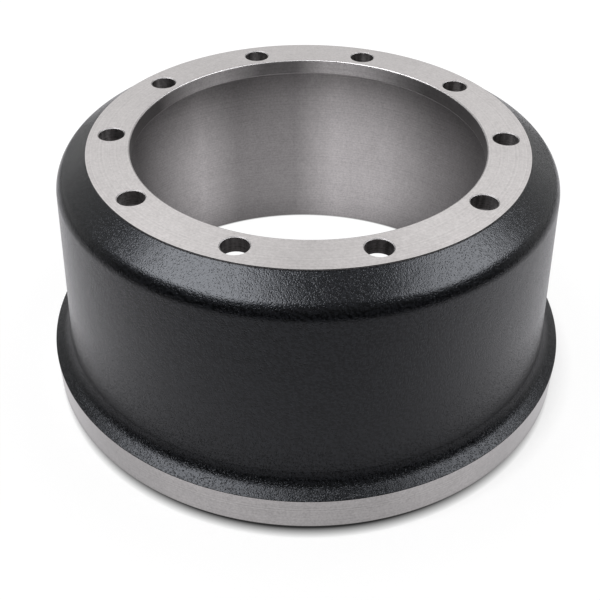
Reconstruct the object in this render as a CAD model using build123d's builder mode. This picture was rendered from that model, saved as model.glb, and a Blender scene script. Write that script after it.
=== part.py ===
from build123d import *
import os
from math import radians, tan

# A cast iron brake drum for a truck hub, standing on its open rim with the wheel flange up.
# Sizes are in millimetres. Heights count up from the open rim, and the Z axis is the wheel's axis.

# Stud circle
stud_circle_diameter = 335.0
stud_hole_count = 10
stud_hole_diameter = 22.0
stud_hole_chamfer = 0.8

# Wheel flange, machined on both faces
drum_height = 218.0
flange_thickness = 14.0
pilot_land = 6.0             # metal between a stud hole and the pilot bore
face_land = 8.5              # metal between a stud hole and the edge of the wheel face
face_step = 1.2              # the wheel face stands this proud of the cast shoulder
pilot_outer_chamfer = 1.2
pilot_inner_chamfer = 1.0

# Hub seat under the flange, and the cast corner from it down to the friction bore
seat_land = 8.5              # metal between a stud hole and the edge of the hub seat
inner_corner_reach = 18.0    # the corner's width and height, which make the friction bore 410 mm across
inner_corner_radius = 34.0
friction_mouth_chamfer = 3.0

# Outer wall, which thickens from the shoulder down to the stiffening ring
wall_at_shoulder = 8.3
wall_at_ring = 18.7
shoulder_drop = 18.0         # from the wheel face down to where the shoulder would meet the wall
shoulder_radius = 18.0

# Stiffening ring round the open rim, with a turned band
ring_width = 15.3            # how far the ring stands out from the foot of the wall
band_height = 31.0
band_foot_chamfer = 1.5
ring_slope = 27.0            # degrees that the cast top of the ring falls towards its edge
ring_root_radius = 16.0

# Worked out from the sizes above
stud_circle_radius = stud_circle_diameter / 2
stud_hole_radius = stud_hole_diameter / 2
pilot_radius = stud_circle_radius - stud_hole_radius - pilot_land
face_radius = stud_circle_radius + stud_hole_radius + face_land
seat_radius = stud_circle_radius + stud_hole_radius + seat_land
friction_radius = seat_radius + inner_corner_reach
hub_seat_height = drum_height - flange_thickness
shoulder_corner = (friction_radius + wall_at_shoulder, drum_height - shoulder_drop)
ring_outer_radius = friction_radius + wall_at_ring + ring_width
ring_rise = ring_width * tan(radians(ring_slope))
ring_root = (friction_radius + wall_at_ring, band_height + ring_rise)

# Corners of the section: radius from the axis, then height
pilot_top = (pilot_radius, drum_height)
face_edge = (face_radius, drum_height)
face_foot = (face_radius, drum_height - face_step)
band_top = (ring_outer_radius, band_height)
band_foot = (ring_outer_radius, 0)
friction_mouth = (friction_radius, 0)
friction_end = (friction_radius, hub_seat_height - inner_corner_reach)
seat_edge = (seat_radius, hub_seat_height)
pilot_foot = (pilot_radius, hub_seat_height)

with BuildPart() as brake_drum:
    # Half section of the whole casting, turned round the wheel's axis
    with BuildSketch(Plane.XZ) as section:
        with BuildLine():
            Polyline(
                seat_edge,
                pilot_foot,
                pilot_top,
                face_edge,
                face_foot,
                shoulder_corner,
                ring_root,
                band_top,
                band_foot,
                friction_mouth,
                friction_end,
            )
            # The turned bore and seat cut the cast corner short at both of its ends
            RadiusArc(friction_end, seat_edge, -inner_corner_radius)
        make_face()

        # Cast corners
        fillet(section.vertices().sort_by_distance(shoulder_corner)[0], radius=shoulder_radius)
        fillet(section.vertices().sort_by_distance(ring_root)[0], radius=ring_root_radius)

        # Edges broken by the turning tool
        chamfer(section.vertices().sort_by_distance(pilot_top)[0], length=pilot_outer_chamfer)
        chamfer(section.vertices().sort_by_distance(pilot_foot)[0], length=pilot_inner_chamfer)
        chamfer(section.vertices().sort_by_distance(friction_mouth)[0], length=friction_mouth_chamfer)
        chamfer(section.vertices().sort_by_distance(band_foot)[0], length=band_foot_chamfer)
    revolve(axis=Axis.Z)

    # Stud holes through the flange, chamfered on both faces
    with Locations(Plane.XY.offset(drum_height)):
        with PolarLocations(stud_circle_radius, stud_hole_count):
            Hole(stud_hole_radius)
    chamfer(brake_drum.edges(Select.LAST).filter_by(GeomType.CIRCLE), length=stud_hole_chamfer)

brake_drum.part.label = "brake_drum"
os.makedirs("parts", exist_ok=True)
export_step(brake_drum.part, "parts/brake_drum.step")
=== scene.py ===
import math
import bpy
from mathutils import Matrix, Vector


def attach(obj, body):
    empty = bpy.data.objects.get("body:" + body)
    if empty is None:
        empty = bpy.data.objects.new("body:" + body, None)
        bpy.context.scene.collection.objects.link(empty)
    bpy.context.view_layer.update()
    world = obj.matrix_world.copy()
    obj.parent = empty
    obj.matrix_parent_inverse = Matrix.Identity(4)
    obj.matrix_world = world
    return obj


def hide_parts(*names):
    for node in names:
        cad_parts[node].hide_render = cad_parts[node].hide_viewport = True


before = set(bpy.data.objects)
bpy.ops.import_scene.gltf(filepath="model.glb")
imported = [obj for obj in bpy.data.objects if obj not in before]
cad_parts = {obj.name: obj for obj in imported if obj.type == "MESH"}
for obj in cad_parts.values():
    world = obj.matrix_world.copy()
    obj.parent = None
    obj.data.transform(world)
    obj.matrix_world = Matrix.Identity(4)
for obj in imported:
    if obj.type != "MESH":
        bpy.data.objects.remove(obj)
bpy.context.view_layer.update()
print("frame loaded")

mm = 0.001  # the drum's sizes are in millimetres, Blender works in metres
hair = 0.01  # millimetres that a point or the middle of a face may lie off its place

drum = {
    "turnSteps": 360,  # faces once round the drum
    "pilotRadius": 150.5,
    "pilotTopChamfer": 1.2,
    "pilotFootChamfer": 1.0,
    "flangeUnderside": 204.0,
    "wheelFaceHeight": 218.0,
    "wheelFaceRadius": 187.0,
    "faceStep": 1.2,  # wheel face above the cast shoulder
    "faceEdgeRound": 0.4,
    "faceFootRound": 0.4,
    "shoulderCorner": (213.3, 200.0),
    "shoulderRadius": 18.0,
    "ringRoot": (223.7, 38.8),
    "ringRootRadius": 16.0,
    "ringRadius": 239.0,
    "bandHeight": 31.0,
    "bandTopRound": 0.5,
    "bandFootChamfer": 1.5,
    "frictionRadius": 205.0,
    "seatRadius": 187.0,
    "cornerFoot": 186.0,  # the cast inner corner starts here on the friction bore
    "cornerRadius": 34.0,
    "cornerSteps": 8,
    "mouthChamfer": 3.0,
    "mergeWithin": 0.02,
    "smoothBelow": 12.0,  # degrees between two faces that still shade as one surface
}

studHoles = {
    "count": 10,
    "circleRadius": 167.5,
    "radius": 11.0,
    "chamfer": 0.8,
    "sides": 72,
}


def letGo():
    if bpy.context.mode != "OBJECT":
        bpy.ops.object.mode_set(mode="OBJECT")
    bpy.ops.object.select_all(action="DESELECT")


def startPoint(name, radius, height):
    letGo()
    bpy.ops.mesh.primitive_plane_add(size=mm, location=(radius * mm, 0, height * mm))
    ob = bpy.context.object
    ob.name = name
    bpy.ops.object.transform_apply(location=True, rotation=True, scale=True)
    bpy.ops.object.mode_set(mode="EDIT")
    bpy.ops.mesh.select_all(action="SELECT")
    bpy.ops.mesh.merge(type="CENTER")
    return ob


def drawTo(here, radius, height):
    step = ((radius - here[0]) * mm, 0, (height - here[1]) * mm)
    bpy.ops.mesh.extrude_region_move(TRANSFORM_OT_translate={"value": step})
    return radius, height


def pickPoints(ob, wanted):
    bpy.ops.mesh.select_all(action="DESELECT")
    bpy.ops.object.mode_set(mode="OBJECT")
    for v in ob.data.vertices:
        v.select = any(math.hypot(v.co.x / mm - r, v.co.z / mm - z) < hair for r, z in wanted)
    bpy.ops.object.mode_set(mode="EDIT")
    bpy.ops.mesh.select_mode(type="VERT")


def roundCorner(ob, corner, reach, segments):
    # reach is how far the round runs back along both sides of the corner
    pickPoints(ob, [corner])
    bpy.ops.mesh.bevel(
        affect="VERTICES", offset_type="OFFSET", offset=reach * mm, segments=segments, profile=0.5,
    )


def reachOf(radius, before, corner, after):
    a = Vector(before) - Vector(corner)
    b = Vector(after) - Vector(corner)
    return radius / math.tan(a.angle(b) / 2)


# Half section of the drum, drawn corner by corner in the XZ plane
d = drum
pilotTop = (d["pilotRadius"], d["wheelFaceHeight"])
faceEdge = (d["wheelFaceRadius"], d["wheelFaceHeight"])
faceFoot = (d["wheelFaceRadius"], d["wheelFaceHeight"] - d["faceStep"])
bandTop = (d["ringRadius"], d["bandHeight"])
bandFoot = (d["ringRadius"], 0.0)
mouth = (d["frictionRadius"], 0.0)
cornerFoot = (d["frictionRadius"], d["cornerFoot"])
seatEdge = (d["seatRadius"], d["flangeUnderside"])
pilotFoot = (d["pilotRadius"], d["flangeUnderside"])

casting = startPoint("drum_casting", *pilotTop)
here = pilotTop
outerCorners = (faceEdge, faceFoot, d["shoulderCorner"], d["ringRoot"], bandTop, bandFoot)
for corner in (*outerCorners, mouth, cornerFoot):
    here = drawTo(here, *corner)

# The cast inner corner is an arc, so its last point is spun round the arc's centre
chord = Vector(seatEdge) - Vector(cornerFoot)
inward = Vector((-chord.y, chord.x)).normalized()
arcDepth = math.sqrt(d["cornerRadius"] ** 2 - (chord.length / 2) ** 2)
arcCentre = (Vector(cornerFoot) + Vector(seatEdge)) / 2 + inward * arcDepth
arcAngle = 2 * math.asin(chord.length / 2 / d["cornerRadius"])
bpy.ops.mesh.spin(
    steps=d["cornerSteps"], angle=arcAngle, axis=(0, 1, 0),
    center=(arcCentre.x * mm, 0, arcCentre.y * mm),
)
drawTo(seatEdge, *pilotFoot)
pickPoints(casting, [pilotTop, pilotFoot])
bpy.ops.mesh.edge_face_add()

shoulderReach = reachOf(d["shoulderRadius"], faceFoot, d["shoulderCorner"], d["ringRoot"])
ringRootReach = reachOf(d["ringRootRadius"], d["shoulderCorner"], d["ringRoot"], bandTop)
rounds = [  # corner of the section, how far its round reaches, faces across it
    (pilotTop, d["pilotTopChamfer"], 3),
    (pilotFoot, d["pilotFootChamfer"], 2),
    (faceEdge, d["faceEdgeRound"], 2),
    (faceFoot, d["faceFootRound"], 2),
    (mouth, d["mouthChamfer"], 2),
    (bandTop, d["bandTopRound"], 2),
    (bandFoot, d["bandFootChamfer"], 2),
    (d["shoulderCorner"], shoulderReach, 14),
    (d["ringRoot"], ringRootReach, 14),
]
for corner, reach, faces in rounds:
    roundCorner(casting, corner, reach, faces)

# Turned round the wheel's axis
bpy.ops.mesh.select_all(action="SELECT")
bpy.ops.mesh.spin(steps=d["turnSteps"], angle=2 * math.pi, center=(0, 0, 0), axis=(0, 0, 1))
bpy.ops.mesh.select_all(action="SELECT")
bpy.ops.mesh.remove_doubles(threshold=d["mergeWithin"] * mm)
bpy.ops.mesh.normals_make_consistent(inside=False)
bpy.ops.object.mode_set(mode="OBJECT")
print("casting turned:", len(casting.data.vertices), "points")


# One cutter with a countersink at both ends, copied round the stud circle
def pickEnd(ob, way):
    # way is 1 for the cutter's top and -1 for its foot, whose normals point straight up or down
    bpy.ops.mesh.select_all(action="DESELECT")
    bpy.ops.object.mode_set(mode="OBJECT")
    for f in ob.data.polygons:
        f.select = f.normal.z * way > 0.9
    bpy.ops.object.mode_set(mode="EDIT")
    bpy.ops.mesh.select_mode(type="FACE")


h = studHoles
plain = d["wheelFaceHeight"] - d["flangeUnderside"] - 2 * h["chamfer"]
middle = (d["wheelFaceHeight"] + d["flangeUnderside"]) / 2
flare = 2 * h["chamfer"]  # the cone runs on past the flange
wide = (h["radius"] + flare) / h["radius"]
letGo()
bpy.ops.mesh.primitive_cylinder_add(
    vertices=h["sides"], radius=h["radius"] * mm, depth=plain * mm,
    location=(h["circleRadius"] * mm, 0, middle * mm),
)
cutter = bpy.context.object
cutter.name = "stud_hole_cutter"
bpy.ops.object.transform_apply(location=True, rotation=True, scale=True)
bpy.ops.object.mode_set(mode="EDIT")
for way in (1, -1):
    pickEnd(cutter, way)
    up = way * flare * mm
    bpy.ops.mesh.extrude_region_move(TRANSFORM_OT_translate={"value": (0, 0, up)})
    bpy.ops.transform.resize(
        value=(wide, wide, 1),
        center_override=(h["circleRadius"] * mm, 0, middle * mm + up),
    )
bpy.ops.object.mode_set(mode="OBJECT")

cutters = [cutter]
for i in range(1, h["count"]):
    letGo()
    cutter.select_set(True)
    bpy.context.view_layer.objects.active = cutter
    bpy.ops.object.duplicate(linked=False)
    another = bpy.context.object
    another.data.transform(Matrix.Rotation(2 * math.pi * i / h["count"], 4, "Z"))
    cutters.append(another)
letGo()
for ob in cutters:
    ob.select_set(True)
bpy.context.view_layer.objects.active = cutter
bpy.ops.object.join()

letGo()
casting.select_set(True)
bpy.context.view_layer.objects.active = casting
drill = casting.modifiers.new("stud_holes", "BOOLEAN")
drill.operation = "DIFFERENCE"
drill.solver = "EXACT"
drill.object = cutter
bpy.ops.object.modifier_apply(modifier=drill.name)
bpy.data.objects.remove(cutter, do_unlink=True)
bpy.ops.object.shade_smooth_by_angle(angle=math.radians(d["smoothBelow"]))
print("stud holes drilled:", len(casting.data.polygons), "faces")


# Materials. Patterns read Object coordinates, which are metres in the drum's own frame.
def newMaterial(name):
    material = bpy.data.materials.new(name)
    material.use_nodes = True
    return material


def addNode(tree, kind, inputs=None, **settings):
    node = tree.nodes.new(kind)
    for key, value in settings.items():
        setattr(node, key, value)
    for key, value in (inputs or {}).items():
        if isinstance(value, bpy.types.NodeSocket):
            tree.links.new(value, node.inputs[key])
        else:
            node.inputs[key].default_value = value
    return node


def math2(tree, operation, a, b=0.0):
    return addNode(tree, "ShaderNodeMath", {0: a, 1: b}, operation=operation).outputs[0]


def productOf(tree, first, *others):
    for other in others:
        first = math2(tree, "MULTIPLY", first, other)
    return first


def blendOf(tree, *shares):
    # Each share is a pattern and how much of it goes into the sum
    total = 0.0
    for pattern, share in shares:
        total = math2(tree, "ADD", total, math2(tree, "MULTIPLY", pattern, share))
    return total


def vector2(tree, operation, a, b):
    return addNode(tree, "ShaderNodeVectorMath", {0: a, 1: b}, operation=operation).outputs["Vector"]


def distanceOf(tree, where, place):
    node = addNode(tree, "ShaderNodeVectorMath", {0: where, 1: place}, operation="DISTANCE")
    return node.outputs["Value"]


def noiseOf(tree, where, scale, detail=2.0, roughness=0.5, distortion=0.0):
    inputs = {"Vector": where, "Scale": scale, "Detail": detail, "Roughness": roughness}
    inputs["Distortion"] = distortion
    return addNode(tree, "ShaderNodeTexNoise", inputs).outputs["Fac"]


def linesOf(tree, across, scale):
    inputs = {"W": across, "Scale": scale, "Detail": 3.0, "Roughness": 0.6}
    return addNode(tree, "ShaderNodeTexNoise", inputs, noise_dimensions="1D").outputs["Fac"]


def fromTo(tree, value, low, high, newLow, newHigh, smooth=False):
    inputs = {"Value": value, "From Min": low, "From Max": high, "To Min": newLow, "To Max": newHigh}
    kind = "SMOOTHSTEP" if smooth else "LINEAR"
    return addNode(tree, "ShaderNodeMapRange", inputs, interpolation_type=kind).outputs[0]


def rampOf(tree, fac, stops):
    node = addNode(tree, "ShaderNodeValToRGB", {"Fac": fac})
    ramp = node.color_ramp
    while len(ramp.elements) < len(stops):
        ramp.elements.new(0.5)
    for element, (place, colour) in zip(ramp.elements, stops):
        element.position = place
        element.color = (*colour, 1)
    return node.outputs["Color"]


def greyRamp(tree, value, stops, start, end):
    # stops give a grey at values between start and end
    along = fromTo(tree, value, start, end, 0.0, 1.0)
    greys = [((place - start) / (end - start), (grey,) * 3) for place, grey in stops]
    return rampOf(tree, along, greys)


def bumpOf(tree, height, distance):
    inputs = {"Height": height, "Strength": 1.0, "Distance": distance}
    return addNode(tree, "ShaderNodeBump", inputs).outputs["Normal"]


def placeOf(tree):
    where = addNode(tree, "ShaderNodeTexCoord").outputs["Object"]
    return where, addNode(tree, "ShaderNodeSeparateXYZ", {"Vector": where}).outputs


def radiusOf(tree, parts):
    squares = blendOf(tree, (parts["X"], parts["X"]), (parts["Y"], parts["Y"]))
    return math2(tree, "SQRT", squares)


mottleSpan = (0.3, 0.7)  # nearly all of a mottle lies between these

wallPaint = {
    "dark": (0.0002, 0.0003, 0.0005),
    "light": (0.0068, 0.0073, 0.0088),
    "darkBelow": 0.25,  # where in the mottle the colour is all dark, and where all light
    "lightAbove": 0.75,
    "paintedShadeShare": 0.8,  # painted shade: share of the colour kept on the shoulder, its corner and the ring, darker than on the wall
    "roughness": 0.285,
    "patchiness": 0.02,  # how far the roughness changes from place to place
    "gloss": 0.077,
    "sheenTint": (0.78, 0.85, 1.0),
    "lacquer": 0.286,  # share of a clear coat's gloss, which is crisper than the paint's own
    "lacquerRoughness": 0.12,
    "broadPerMetre": 38.0,
    "broadMottle": 0.3,
    "grainPerMetre": 1300.0,
    "grainMottle": 0.7,
    "paintedGrainShadePerMetre": 380.0,  # painted light and shade on the skin's grain: each grain is lighter on one side and darker on the other
    "paintedGrainShade": (0.0008, 0.0008, 0.0009),
    "paintedGrainShadeContrast": 5.0,
    "ridgesPerMetre": 560.0,  # the cast skin under the paint
    "ridgeFlank": 0.25,
    "grainRelief": 0.6,  # these heights are shares of a ridge's
    "pitsPerMetre": 640.0,
    "pitSpan": (0.08, 0.50),  # share of the way between pits where a pit's side starts and ends
    "pits": 1.7,
    "wavesPerMetre": 85.0,
    "waves": 5.0,
    "wallShare": 1.9,  # the wall's skin is this much coarser than the shoulder's
    "wallFrom": (0.036, 0.056),  # heights in metres where the ring's skin turns into the wall's
    "wallTo": (0.186, 0.200),  # and the wall's into the shoulder's
    "depth": 0.00005,
}
ringPaint = {"gloss": 0.056, "lacquer": 0.208, "depth": 0.00008}  # duller and coarser on the ring's top


def castPaint(name, change=None):
    paint = dict(wallPaint, **(change or {}))
    material = newMaterial(name)
    tree = material.node_tree
    where, parts = placeOf(tree)
    shader = tree.nodes["Principled BSDF"]
    skin = noiseOf(tree, where, paint["ridgesPerMetre"], 3.0, 0.6, 0.5)
    folded = math2(tree, "ABSOLUTE", math2(tree, "SUBTRACT", skin, 0.5))
    ridges = fromTo(tree, folded, 0.0, paint["ridgeFlank"], 1.0, 0.0)
    grain = noiseOf(tree, where, paint["grainPerMetre"])
    broad = noiseOf(tree, where, paint["broadPerMetre"], 3.0, 0.55)
    waves = noiseOf(tree, where, paint["wavesPerMetre"])
    spread = addNode(tree, "ShaderNodeTexVoronoi", {"Vector": where, "Scale": paint["pitsPerMetre"]})
    pits = fromTo(tree, spread.outputs["Distance"], *paint["pitSpan"], 0.0, paint["pits"], True)

    aboveRing = fromTo(tree, parts["Z"], *paint["wallFrom"], 0.0, 1.0, True)
    belowShoulder = fromTo(tree, parts["Z"], *paint["wallTo"], 1.0, 0.0, True)
    onWall = productOf(tree, aboveRing, belowShoulder)
    share = fromTo(tree, onWall, 0.0, 1.0, 1.0, paint["wallShare"])
    fine = blendOf(tree, (ridges, 1.0), (grain, paint["grainRelief"]), (pits, 1.0))
    relief = blendOf(tree, (fine, share), (waves, paint["waves"]))
    bumped = bumpOf(tree, relief, paint["depth"])
    tree.links.new(bumped, shader.inputs["Normal"])
    tree.links.new(bumped, shader.inputs["Coat Normal"])

    # painted light and shade on the grain: the tone compared with a point a little aside
    aside = vector2(tree, "ADD", where, paint["paintedGrainShade"])
    paintedGrainShade = math2(tree, "SUBTRACT", noiseOf(tree, where, paint["paintedGrainShadePerMetre"]),
                 noiseOf(tree, aside, paint["paintedGrainShadePerMetre"]))
    mottle = blendOf(tree, (broad, paint["broadMottle"]), (grain, paint["grainMottle"]))
    shaded = blendOf(tree, (mottle, 1.0), (paintedGrainShade, paint["paintedGrainShadeContrast"]))
    stops = [(paint["darkBelow"], paint["dark"]), (paint["lightAbove"], paint["light"])]
    colour = rampOf(tree, shaded, stops)
    # painted shade: the colour is darker on the shoulder, its corner and the ring than on the wall
    strength = fromTo(tree, onWall, 0.0, 1.0, paint["paintedShadeShare"], 1.0)
    colourWithPaintedShade = addNode(tree, "ShaderNodeVectorMath", {0: colour, "Scale": strength}, operation="SCALE")
    tree.links.new(colourWithPaintedShade.outputs["Vector"], shader.inputs["Base Color"])

    half = paint["patchiness"] / 2
    rough = fromTo(tree, mottle, *mottleSpan, paint["roughness"] - half, paint["roughness"] + half)
    tree.links.new(rough, shader.inputs["Roughness"])
    shader.inputs["Specular IOR Level"].default_value = paint["gloss"]
    shader.inputs["Specular Tint"].default_value = (*paint["sheenTint"], 1)
    shader.inputs["Coat Weight"].default_value = paint["lacquer"]
    shader.inputs["Coat Roughness"].default_value = paint["lacquerRoughness"]
    return material


# Tones are linear greys. A list gives the tone by the angle from +Y towards +X, in degrees: painted sheen,
# light and dark bands of painted reflection that lie across the turning marks.
metal = {
    "tint": (1.0, 0.957, 0.948),
    "tone": 0.51,
    "unevenness": 0.16,  # how far the tone strays to both sides, as a share of it
    "darkBelow": 0.35,  # where in the mottle it has strayed all the way
    "lightAbove": 0.65,
    "roughnessLow": 0.28,
    "roughnessHigh": 0.37,
    "marksPerMetre": 700.0,
    "grainPerMetre": 520.0,
    "cloudsPerMetre": 120.0,
    "broadPerMetre": 22.0,
    "mottle": (0.1, 0.1, 0.5, 0.3),  # shares of broad patches, clouds, grain and marks
    "relief": (0.8, 0.5),  # shares of marks and grain
    "depth": 0.00006,
    "lengthwise": 0.0,  # how far uneven streaks along the axis change the tone
    "lengthwisePerMetre": 210.0,
    "paintedShadeByHeight": None,  # painted shade by height: a list of heights in millimetres with the share of the tone there
}


def turnedMetal(name, marksAcross, change=None):
    # marksAcross says which way the tool moved: "radius" on a face, "height" on a wall
    m = dict(metal, **(change or {}))
    material = newMaterial(name)
    tree = material.node_tree
    where, parts = placeOf(tree)
    shader = tree.nodes["Principled BSDF"]
    across = radiusOf(tree, parts) if marksAcross == "radius" else parts["Z"]
    marks = linesOf(tree, across, m["marksPerMetre"])
    grain = noiseOf(tree, where, m["grainPerMetre"], 4.0, 0.65)
    cloud = noiseOf(tree, where, m["cloudsPerMetre"])
    broad = noiseOf(tree, where, m["broadPerMetre"], 3.0, 0.55)
    relief = blendOf(tree, *zip((marks, grain), m["relief"]))
    tree.links.new(bumpOf(tree, relief, m["depth"]), shader.inputs["Normal"])

    mottle = blendOf(tree, *zip((broad, cloud, grain, marks), m["mottle"]))
    if m["lengthwise"]:
        flat = vector2(tree, "MULTIPLY", where, (1, 1, 0))
        streaks = noiseOf(tree, flat, m["lengthwisePerMetre"])
        stray = fromTo(tree, streaks, 0.0, 1.0, -m["lengthwise"], m["lengthwise"])
        mottle = math2(tree, "ADD", mottle, stray)
    paintedSheen = isinstance(m["tone"], list)
    level = 1.0 if paintedSheen else m["tone"]
    low = tuple(part * (1.0 - m["unevenness"]) * level for part in m["tint"])
    high = tuple(part * (1.0 + m["unevenness"]) * level for part in m["tint"])
    colour = rampOf(tree, mottle, [(m["darkBelow"], low), (m["lightAbove"], high)])
    # painted sheen: the colour turns lighter and darker by the angle round the drum
    if paintedSheen:
        turned = math2(tree, "ARCTAN2", parts["X"], parts["Y"])
        degrees = math2(tree, "MULTIPLY", turned, 180 / math.pi)
        colour = vector2(tree, "MULTIPLY", colour, greyRamp(tree, degrees, m["tone"], -180, 180))
    # painted shade by height, darker towards the flange
    if m["paintedShadeByHeight"]:
        height = math2(tree, "MULTIPLY", parts["Z"], 1 / mm)
        paintedShadeByHeight = greyRamp(tree, height, m["paintedShadeByHeight"], 0, drum["cornerFoot"])
        colour = vector2(tree, "MULTIPLY", colour, paintedShadeByHeight)
    tree.links.new(colour, shader.inputs["Base Color"])
    rough = fromTo(tree, mottle, *mottleSpan, m["roughnessLow"], m["roughnessHigh"])
    tree.links.new(rough, shader.inputs["Roughness"])
    shader.inputs["Metallic"].default_value = 1.0
    return material


# painted sheen on the wheel face: light and dark bands of painted reflection by the angle round the drum
wheelFace = {
    "tone": [(-180, 0.48), (-145, 0.58), (-80, 0.53), (-40, 0.50), (30, 0.50), (60, 0.55), (143, 0.58),
             (180, 0.48)],
}
# painted sheen on the friction bore by angle, and painted shade by height, darker up under the flange
frictionBore = {
    "tone": [(-180, 0.40), (-66, 0.17), (-56, 0.19), (-40, 0.58), (-34, 0.72), (-22, 0.38), (-4, 0.40),
             (8, 0.76), (24, 0.72), (40, 0.39), (56, 0.19), (100, 0.33), (180, 0.40)],
    "paintedShadeByHeight": [(0, 1.0), (30, 1.0), (75, 0.85), (150, 0.84), (186, 0.50)],
    "unevenness": 0.24, "roughnessLow": 0.28, "roughnessHigh": 0.34, "marksPerMetre": 900.0,
}
# painted sheen on the pilot bore: light and dark bands of painted reflection by the angle round the drum
pilotBore = {
    "tone": [(-180, 0.38), (-90, 0.13), (-65, 0.15), (-45, 0.73), (-35, 0.80), (-18, 0.25), (-5, 0.25),
             (6, 0.80), (16, 0.80), (25, 0.66), (35, 0.35), (46, 0.17), (90, 0.13), (180, 0.38)],
    "unevenness": 0.20, "roughnessLow": 0.42, "roughnessHigh": 0.50, "marksPerMetre": 900.0,
}
# painted sheen on the band: light and dark bands of painted reflection by the angle round the drum
turnedBand = {
    "tone": [(-180, 0.32), (-160, 0.33), (-140, 0.25), (-125, 0.25), (-100, 0.29), (0, 0.34), (100, 0.28),
             (135, 0.31), (146, 0.37), (156, 0.37), (165, 0.32), (180, 0.32)],
    "tint": (1.0, 0.965, 0.945), "unevenness": 0.26,
}
drilledHole = {"tone": 0.26, "unevenness": 0.5, "lengthwise": 0.35, "roughnessLow": 0.30}
brokenEdge = {"tone": 0.30, "unevenness": 0.17, "roughnessLow": 0.45, "roughnessHigh": 0.50}
countersunkEdge = {"tone": 0.21, "unevenness": 0.20, "roughnessLow": 0.62, "roughnessHigh": 0.66}
stepWall = {"tone": 0.20, "unevenness": 0.25, "roughnessLow": 0.40, "roughnessHigh": 0.45}


def assignTo(ob, material, wanted):
    letGo()
    ob.select_set(True)
    bpy.context.view_layer.objects.active = ob
    bpy.ops.object.material_slot_add()
    ob.material_slots[-1].material = material
    for f in ob.data.polygons:
        c = f.center / mm
        f.select = wanted(math.hypot(c.x, c.y), c.z, c)
    bpy.ops.object.mode_set(mode="EDIT")
    bpy.ops.mesh.select_mode(type="FACE")
    bpy.ops.object.material_slot_assign()
    bpy.ops.object.mode_set(mode="OBJECT")


def inHole(c):
    angle = math.atan2(c.y, c.x)
    pitch = 2 * math.pi / h["count"]
    nearest = round(angle / pitch) * pitch
    centreX = h["circleRadius"] * math.cos(nearest)
    centreY = h["circleRadius"] * math.sin(nearest)
    return math.hypot(c.x - centreX, c.y - centreY) < h["radius"] + h["chamfer"]


# Where each finish lies, by the radius and the height of a face's middle
ringTop = {"from": 222.5, "to": 48.2}  # lowest radius and greatest height of the ring's own paint
top = d["wheelFaceHeight"]
under = d["flangeUnderside"]
bandEdge = d["ringRadius"] - d["bandFootChamfer"]
stepFoot = top - d["faceStep"] + d["faceFootRound"]


def insideFlange(z):
    return under + hair < z < top - hair


casting.data.materials.clear()
assignTo(casting, castPaint("charcoal_cast_paint"), lambda r, z, c: True)
assignTo(casting, castPaint("charcoal_ring_paint", ringPaint),
         lambda r, z, c: r > ringTop["from"] and d["bandHeight"] < z < ringTop["to"])
assignTo(casting, turnedMetal("turned_wheel_face", "radius", wheelFace),
         lambda r, z, c: z > top - hair and r < d["wheelFaceRadius"])
assignTo(casting, turnedMetal("turned_step", "height", stepWall),
         lambda r, z, c: r > d["wheelFaceRadius"] - hair and stepFoot < z < top)
assignTo(casting, turnedMetal("turned_hub_seat", "radius"),
         lambda r, z, c: abs(z - under) < hair and r < d["seatRadius"])
assignTo(casting, turnedMetal("turned_pilot_bore", "height", pilotBore),
         lambda r, z, c: r < d["pilotRadius"] + hair)
assignTo(casting, turnedMetal("turned_friction_bore", "height", frictionBore),
         lambda r, z, c: r < d["frictionRadius"] + d["mouthChamfer"] and z < d["cornerFoot"])
assignTo(casting, turnedMetal("turned_band", "height", turnedBand),
         lambda r, z, c: z < hair or (r > bandEdge and z < d["bandHeight"] + hair))
assignTo(casting, turnedMetal("drilled_hole", "height", drilledHole),
         lambda r, z, c: insideFlange(z) and inHole(c))
assignTo(casting, turnedMetal("broken_pilot_edge", "radius", brokenEdge),
         lambda r, z, c: hair < r - d["pilotRadius"] < d["pilotTopChamfer"] and insideFlange(z))
assignTo(casting, turnedMetal("countersunk_hole_edge", "radius", countersunkEdge),
         lambda r, z, c: top - h["chamfer"] < z < top - hair and inHole(c))
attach(casting, "root")
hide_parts("brake_drum")
print("materials set")

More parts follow.
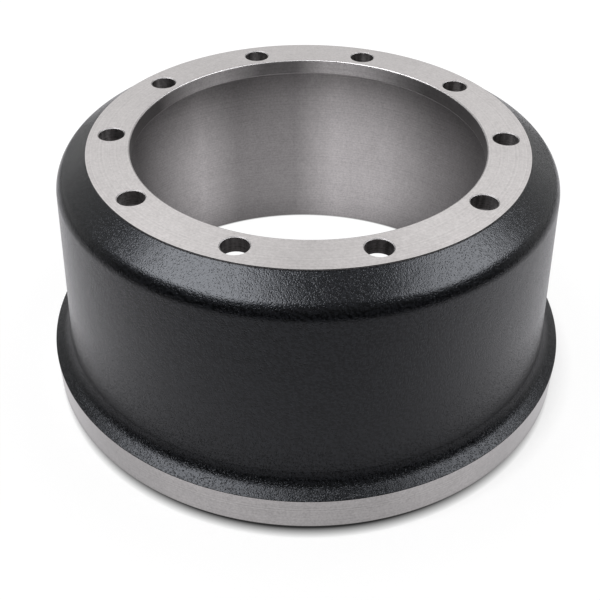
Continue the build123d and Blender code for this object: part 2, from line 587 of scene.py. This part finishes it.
# Floor, white to the camera except where the drum shades it. Sizes and places are in metres.
studio = {
    "floorHalf": 6.0,
    "floorDrop": 0.0001,
    "outside": (0.205, 0.235),  # the drum's inside turns into the open floor between these radii
    "floorColour": 0.40,
    "insideColour": 0.10,  # little light comes down into the open drum
    "floorOwnLight": 0.67,
    "insideOwnLight": 0.98,
    "glossTint": (0.98, 0.97, 1.0),
    "nearGlossSpan": (0.2385, 0.2405),  # what gloss mirrors of the floor close to the drum
    "nearGloss": 0.90,
    "widerGlossSpan": (0.2425, 0.34),
    "widerGloss": 0.14,
    "glossFade": (0.85, 1.55),
    "farGlossLight": 0.02,
    "patchPlace": (0.0, 0.02, 0.0),  # light that falls through the pilot bore
    "patchSqueeze": (1.6, 1.0, 1.0),
    "patchRadius": 0.37,
    "patchLight": 0.80,
    "glows": [  # place, reach and strength of lighter floor on the right and left, seen in the wall
        ((0.50, -0.25, 0.0), 0.45, 0.75),
        ((-0.36, -0.22, 0.0), 0.55, 0.42),
    ],
    "shadePlace": (0.0, -0.0145, 0.0),  # centre of the shade round the ring's foot
    "shadeSpan": (0.2250, 0.2355),
    "shadeLeft": 0.03,
    "softShadePlace": (0.010, 0.0, 0.0),  # a wide, faint shade on the right
    "softShadeSpan": (0.2297, 0.2497),
    "softShadeLeft": 0.84,
    "mouthShadeSpan": (0.2050, 0.2080),
    "softLight": 1.0,  # what matt surfaces get from all sides
    "sky": [(0.0, 0.95), (0.15, 0.62), (0.33, 0.60), (0.5, 0.62), (0.7, 0.65), (0.9, 0.87), (1.0, 1.0)],
    "frontSky": [(0.0, 0.003), (0.3, 0.11), (0.5, 0.30), (0.75, 0.28), (1.0, 0.60)],
    "skyStrength": 1.5,
    "frontSpan": (-0.35, 0.50),  # where round the horizon the dark front turns into the sky
    "lampColour": (0.95, 0.965, 1.0),
    "lampAim": (0, 0, 0.1),
}


def floorMaterial():
    s = studio
    material = newMaterial("studio_floor")
    tree = material.node_tree
    tree.nodes.clear()
    where, parts = placeOf(tree)
    radius = radiusOf(tree, parts)
    ray = addNode(tree, "ShaderNodeLightPath").outputs
    seen = math2(tree, "MAXIMUM", ray["Is Camera Ray"], ray["Is Transmission Ray"])
    outside = fromTo(tree, radius, *s["outside"], 0.0, 1.0, True)

    footShade = fromTo(tree, distanceOf(tree, where, s["shadePlace"]), *s["shadeSpan"], s["shadeLeft"], 1.0)
    toSoft = distanceOf(tree, where, s["softShadePlace"])
    softShade = fromTo(tree, toSoft, *s["softShadeSpan"], s["softShadeLeft"], 1.0)
    mouthShade = fromTo(tree, radius, *s["mouthShadeSpan"], 1.0, s["shadeLeft"])
    shade = math2(tree, "MAXIMUM", productOf(tree, footShade, softShade), mouthShade)
    ownLight = fromTo(tree, outside, 0.0, 1.0, s["insideOwnLight"], s["floorOwnLight"])
    toCamera = productOf(tree, seen, ownLight, shade)

    squeezed = vector2(tree, "MULTIPLY", where, s["patchSqueeze"])
    patch = fromTo(tree, distanceOf(tree, squeezed, s["patchPlace"]), 0.0, s["patchRadius"],
                   s["patchLight"], 0.0, True)
    near = fromTo(tree, radius, *s["nearGlossSpan"], 0.0, s["nearGloss"])
    wider = fromTo(tree, radius, *s["widerGlossSpan"], 0.0, s["widerGloss"])
    far = fromTo(tree, radius, *s["glossFade"], 1.0, s["farGlossLight"], True)
    openGloss = productOf(tree, math2(tree, "ADD", near, wider), far)
    for place, reach, strength in s["glows"]:
        glow = fromTo(tree, distanceOf(tree, where, place), 0.0, reach, 1.0 + strength, 1.0, True)
        openGloss = productOf(tree, openGloss, glow)
    gloss = math2(tree, "MAXIMUM", openGloss, productOf(tree, patch, mouthShade))
    toGloss = productOf(tree, ray["Is Glossy Ray"], gloss)

    tone = fromTo(tree, outside, 0.0, 1.0, s["insideColour"], s["floorColour"])
    notGloss = math2(tree, "SUBTRACT", 1.0, ray["Is Glossy Ray"])
    tone = productOf(tree, tone, shade, notGloss)
    colour = addNode(tree, "ShaderNodeCombineXYZ", {0: tone, 1: tone, 2: tone}).outputs[0]
    diffuse = addNode(tree, "ShaderNodeBsdfDiffuse", {"Color": colour}).outputs[0]
    white = (1, 1, 1, 1)
    plainLight = addNode(tree, "ShaderNodeEmission", {"Color": white, "Strength": toCamera}).outputs[0]
    tint = (*s["glossTint"], 1)
    mirrored = addNode(tree, "ShaderNodeEmission", {"Color": tint, "Strength": toGloss}).outputs[0]
    light = addNode(tree, "ShaderNodeAddShader", {0: plainLight, 1: mirrored}).outputs[0]
    above = addNode(tree, "ShaderNodeAddShader", {0: diffuse, 1: light}).outputs[0]
    # Clear from below, so that the open side of the drum can be looked at
    fromBelow = addNode(tree, "ShaderNodeNewGeometry").outputs["Backfacing"]
    clear = addNode(tree, "ShaderNodeBsdfTransparent").outputs[0]
    surface = addNode(tree, "ShaderNodeMixShader", {0: fromBelow, 1: above, 2: clear}).outputs[0]
    addNode(tree, "ShaderNodeOutputMaterial", {"Surface": surface})
    return material


letGo()
bpy.ops.mesh.primitive_plane_add(size=2 * studio["floorHalf"], location=(0, 0, -studio["floorDrop"]))
floor = bpy.context.object
floor.name = "studio_floor"
floor.data.materials.append(floorMaterial())


def backgroundOf(tree, strength):
    return addNode(tree, "ShaderNodeBackground", {"Color": (1, 1, 1, 1), "Strength": strength}).outputs[0]


def lightWorld(world):
    s = studio
    world.use_nodes = True
    tree = world.node_tree
    tree.nodes.clear()
    where = addNode(tree, "ShaderNodeTexCoord").outputs["Generated"]
    parts = addNode(tree, "ShaderNodeSeparateXYZ", {"Vector": where}).outputs
    ray = addNode(tree, "ShaderNodeLightPath").outputs
    seen = math2(tree, "MAXIMUM", ray["Is Camera Ray"], ray["Is Transmission Ray"])
    back = fromTo(tree, parts["Y"], *s["frontSpan"], 0.0, 1.0, True)
    bright = greyRamp(tree, parts["Z"], s["sky"], 0, 1)
    dark = greyRamp(tree, parts["Z"], s["frontSky"], 0, 1)
    level = addNode(tree, "ShaderNodeMix", {"Factor": back, "A": dark, "B": bright}).outputs[0]
    sky = backgroundOf(tree, productOf(tree, level, s["skyStrength"]))
    even = backgroundOf(tree, s["softLight"])
    lit = addNode(tree, "ShaderNodeMixShader", {0: ray["Is Diffuse Ray"], 1: sky, 2: even}).outputs[0]
    shown = addNode(tree, "ShaderNodeMixShader", {0: seen, 1: lit, 2: backgroundOf(tree, 1.0)}).outputs[0]
    addNode(tree, "ShaderNodeOutputWorld", {"Surface": shown})


bpy.context.scene.world = bpy.data.worlds.new("studio")
lightWorld(bpy.context.scene.world)

lamps = [  # name, place, size, power in watts; both show in gloss only
    ("left_softbox", (-1.107, -0.644, 1.95), (1.80, 1.29), 111.0),
    ("right_softbox", (1.565, -0.249, 1.698), (1.48, 1.07), 60.0),
]
for name, place, size, power in lamps:
    letGo()
    bpy.ops.object.light_add(type="AREA", location=place)
    lamp = bpy.context.object
    lamp.name = name
    lamp.data.shape = "RECTANGLE"
    lamp.data.size, lamp.data.size_y = size
    lamp.data.energy = power
    lamp.data.color = studio["lampColour"]
    lamp.visible_camera = False
    lamp.visible_diffuse = False
    toAim = Vector(studio["lampAim"]) - Vector(place)
    lamp.rotation_euler = toAim.to_track_quat("-Z", "Y").to_euler()
print("studio lit")

shot = {
    "place": (0.0, -0.697, 0.6056),
    "down": 39.11,  # degrees below the horizon
    "aside": 0.51,
    "roll": 0.39,
    "lens": 55.5,
    "sensor": 36.0,
}
letGo()
bpy.ops.object.camera_add(location=shot["place"])
camera = bpy.context.object
camera.name = "shot_camera"
camera.matrix_world = (
    Matrix.Translation(shot["place"])
    @ Matrix.Rotation(math.radians(shot["aside"]), 4, "Z")
    @ Matrix.Rotation(math.radians(90 - shot["down"]), 4, "X")
    @ Matrix.Rotation(math.radians(shot["roll"]), 4, "Z")
)
camera.data.lens = shot["lens"]
camera.data.sensor_width = shot["sensor"]
bpy.context.scene.camera = camera
bpy.context.scene.view_settings.view_transform = "Standard"
